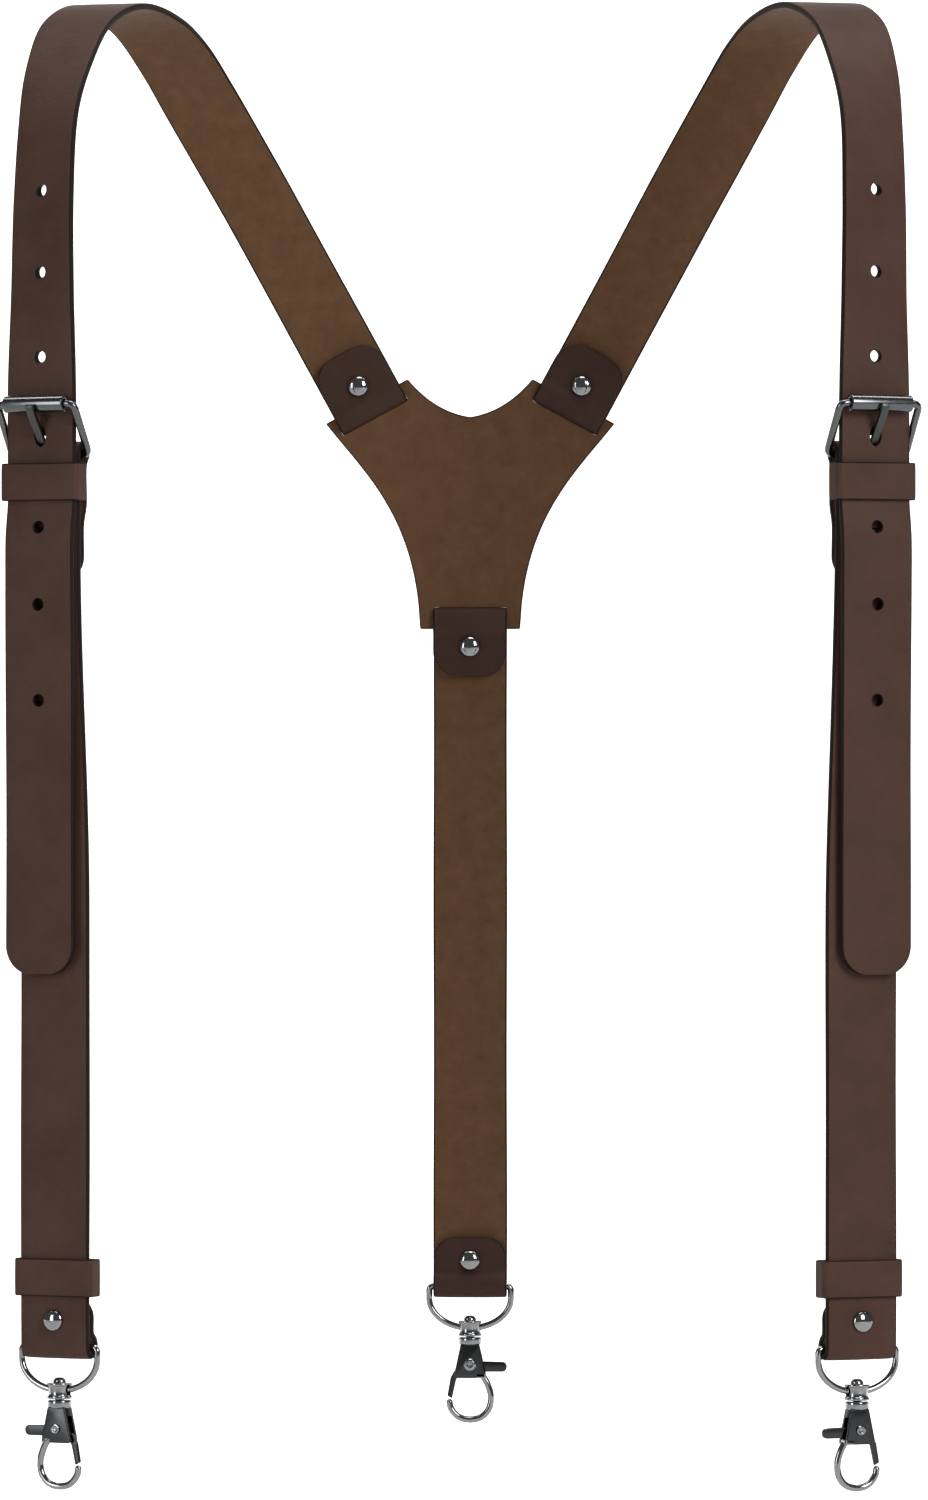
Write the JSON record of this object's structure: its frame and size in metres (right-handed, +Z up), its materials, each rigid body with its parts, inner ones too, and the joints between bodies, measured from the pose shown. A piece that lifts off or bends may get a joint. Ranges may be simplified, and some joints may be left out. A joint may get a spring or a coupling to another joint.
{
  "type": "suspenders",
  "caption": "Y-back leather suspenders with a one-piece yoke, roller-buckle length adjusters, keeper loops, riveted D-rings and swivel snap hooks.",
  "frame": {"origin": "midway between the two shoulders, at the height where the straps rest on them", "axes": "+Z up along the hanging straps, +Y from the wearer's front toward the back, +X to the viewer's right when facing the wearer"},
  "size_m": [0.3004, 0.1652, 0.4882],
  "materials": {
    "leather_face": "satin dark brown grain side",
    "leather_flesh_side": "matte brown flesh side",
    "polished_metal": "polished nickel plate",
    "buckle_metal": "polished plate, slightly darker",
    "spring_steel": "bare spring wire"
  },
  "bodies": {
    "harness": {"yoke": "leather_flesh_side", "rear_strap": "leather_flesh_side", "left_shoulder_strap": "leather_face", "right_shoulder_strap": "leather_face", "left_lower_strap": "leather_face", "right_lower_strap": "leather_face", "left_upper_keeper": "leather_face", "right_upper_keeper": "leather_face", "yoke_stem_rivet_cap": "polished_metal", "yoke_stem_rivet_post": "polished_metal", "rear_ring_rivet_cap": "polished_metal", "rear_ring_rivet_post": "polished_metal", "left_yoke_rivet_cap": "polished_metal", "left_yoke_rivet_post": "polished_metal", "left_buckle_rivet_cap": "polished_metal", "left_buckle_rivet_post": "polished_metal", "left_ring_rivet_cap": "polished_metal", "left_ring_rivet_post": "polished_metal", "right_yoke_rivet_cap": "polished_metal", "right_yoke_rivet_post": "polished_metal", "right_buckle_rivet_cap": "polished_metal", "right_buckle_rivet_post": "polished_metal", "right_ring_rivet_cap": "polished_metal", "right_ring_rivet_post": "polished_metal"},
    "rear_ring": {"rear_d_ring": "polished_metal"},
    "rear_eye": {"rear_swivel_eye": "polished_metal"},
    "rear_hook": {"rear_hook_body": "polished_metal", "rear_lever_pin": "polished_metal", "rear_gate_spring": "spring_steel"},
    "rear_lever": {"rear_gate_lever": "polished_metal"},
    "left_frame": {"left_buckle_frame": "buckle_metal"},
    "left_roller": {"left_buckle_roller": "buckle_metal"},
    "left_prong": {"left_buckle_prong": "buckle_metal"},
    "left_keeper": {"left_lower_keeper": "leather_face"},
    "left_front_ring": {"left_front_d_ring": "polished_metal"},
    "left_front_eye": {"left_front_swivel_eye": "polished_metal"},
    "left_front_hook": {"left_front_hook_body": "polished_metal", "left_front_lever_pin": "polished_metal", "left_front_gate_spring": "spring_steel"},
    "left_front_lever": {"left_front_gate_lever": "polished_metal"},
    "right_frame": {"right_buckle_frame": "buckle_metal"},
    "right_roller": {"right_buckle_roller": "buckle_metal"},
    "right_prong": {"right_buckle_prong": "buckle_metal"},
    "right_keeper": {"right_lower_keeper": "leather_face"},
    "right_front_ring": {"right_front_d_ring": "polished_metal"},
    "right_front_eye": {"right_front_swivel_eye": "polished_metal"},
    "right_front_hook": {"right_front_hook_body": "polished_metal", "right_front_lever_pin": "polished_metal", "right_front_gate_spring": "spring_steel"},
    "right_front_lever": {"right_front_gate_lever": "polished_metal"}
  },
  "joints": [
    {"name": "rear_ring_hinge", "type": "hinge", "parent": "harness", "child": "rear_ring", "pos_m": [0, 0.07405, -0.42765], "axis": [1, 0, 0], "range_deg": [-75, 75]},
    {"name": "rear_eye_hinge", "type": "hinge", "parent": "rear_ring", "child": "rear_eye", "pos_m": [0, 0.07405, -0.4419], "axis": [1, 0, 0], "range_deg": [-75, 75]},
    {"name": "rear_hook_spin", "type": "hinge", "parent": "rear_eye", "child": "rear_hook", "pos_m": [0, 0.07405, -0.4419], "axis": [0, 0, 1], "continuous": true},
    {"name": "rear_gate_swing", "type": "hinge", "parent": "rear_hook", "child": "rear_lever", "pos_m": [0, 0.07405, -0.4542], "axis": [0, -1, 0], "range_deg": [0, 25], "stiffness_Nm_per_rad": 0.004, "springref_deg": -57.3},
    {"name": "left_frame_rock", "type": "hinge", "parent": "harness", "child": "left_frame", "pos_m": [-0.13233, -0.0697, -0.1497], "axis": [0.9063, -0.4226, 0], "range_deg": [-0.8, 2.5]},
    {"name": "left_prong_rock", "type": "hinge", "parent": "left_frame", "child": "left_prong", "pos_m": [-0.13233, -0.0697, -0.1497], "axis": [0.9063, -0.4226, 0], "range_deg": [0, 4]},
    {"name": "left_roller_spin", "type": "hinge", "parent": "left_frame", "child": "left_roller", "pos_m": [-0.13668, -0.07903, -0.1335], "axis": [0.9063, -0.4226, 0], "continuous": true},
    {"name": "left_keeper_slide", "type": "slide", "parent": "harness", "child": "left_keeper", "axis": [0, 0, 1], "range_m": [-0.003, 0.088]},
    {"name": "left_front_ring_hinge", "type": "hinge", "parent": "harness", "child": "left_front_ring", "pos_m": [-0.12932, -0.07154, -0.43905], "axis": [0.9063, -0.4226, 0], "range_deg": [-75, 75]},
    {"name": "left_front_eye_hinge", "type": "hinge", "parent": "left_front_ring", "child": "left_front_eye", "pos_m": [-0.12932, -0.07154, -0.4533], "axis": [0.9063, -0.4226, 0], "range_deg": [-75, 75]},
    {"name": "left_front_hook_spin", "type": "hinge", "parent": "left_front_eye", "child": "left_front_hook", "pos_m": [-0.12932, -0.07154, -0.4533], "axis": [0, 0, 1], "continuous": true},
    {"name": "left_front_gate_swing", "type": "hinge", "parent": "left_front_hook", "child": "left_front_lever", "pos_m": [-0.12932, -0.07154, -0.4656], "axis": [0.4226, 0.9063, 0], "range_deg": [0, 25], "stiffness_Nm_per_rad": 0.004, "springref_deg": -57.3},
    {"name": "right_frame_rock", "type": "hinge", "parent": "harness", "child": "right_frame", "pos_m": [0.13233, -0.0697, -0.1497], "axis": [0.9063, 0.4226, 0], "range_deg": [-0.8, 2.5]},
    {"name": "right_prong_rock", "type": "hinge", "parent": "right_frame", "child": "right_prong", "pos_m": [0.13233, -0.0697, -0.1497], "axis": [0.9063, 0.4226, 0], "range_deg": [0, 4]},
    {"name": "right_roller_spin", "type": "hinge", "parent": "right_frame", "child": "right_roller", "pos_m": [0.13668, -0.07903, -0.1335], "axis": [0.9063, 0.4226, 0], "continuous": true},
    {"name": "right_keeper_slide", "type": "slide", "parent": "harness", "child": "right_keeper", "axis": [0, 0, 1], "range_m": [-0.003, 0.088]},
    {"name": "right_front_ring_hinge", "type": "hinge", "parent": "harness", "child": "right_front_ring", "pos_m": [0.12932, -0.07154, -0.43905], "axis": [0.9063, 0.4226, 0], "range_deg": [-75, 75]},
    {"name": "right_front_eye_hinge", "type": "hinge", "parent": "right_front_ring", "child": "right_front_eye", "pos_m": [0.12932, -0.07154, -0.4533], "axis": [0.9063, 0.4226, 0], "range_deg": [-75, 75]},
    {"name": "right_front_hook_spin", "type": "hinge", "parent": "right_front_eye", "child": "right_front_hook", "pos_m": [0.12932, -0.07154, -0.4533], "axis": [0, 0, 1], "continuous": true},
    {"name": "right_front_gate_swing", "type": "hinge", "parent": "right_front_hook", "child": "right_front_lever", "pos_m": [0.12932, -0.07154, -0.4656], "axis": [-0.4226, 0.9063, 0], "range_deg": [0, 25], "stiffness_Nm_per_rad": 0.004, "springref_deg": -57.3}
  ]
}
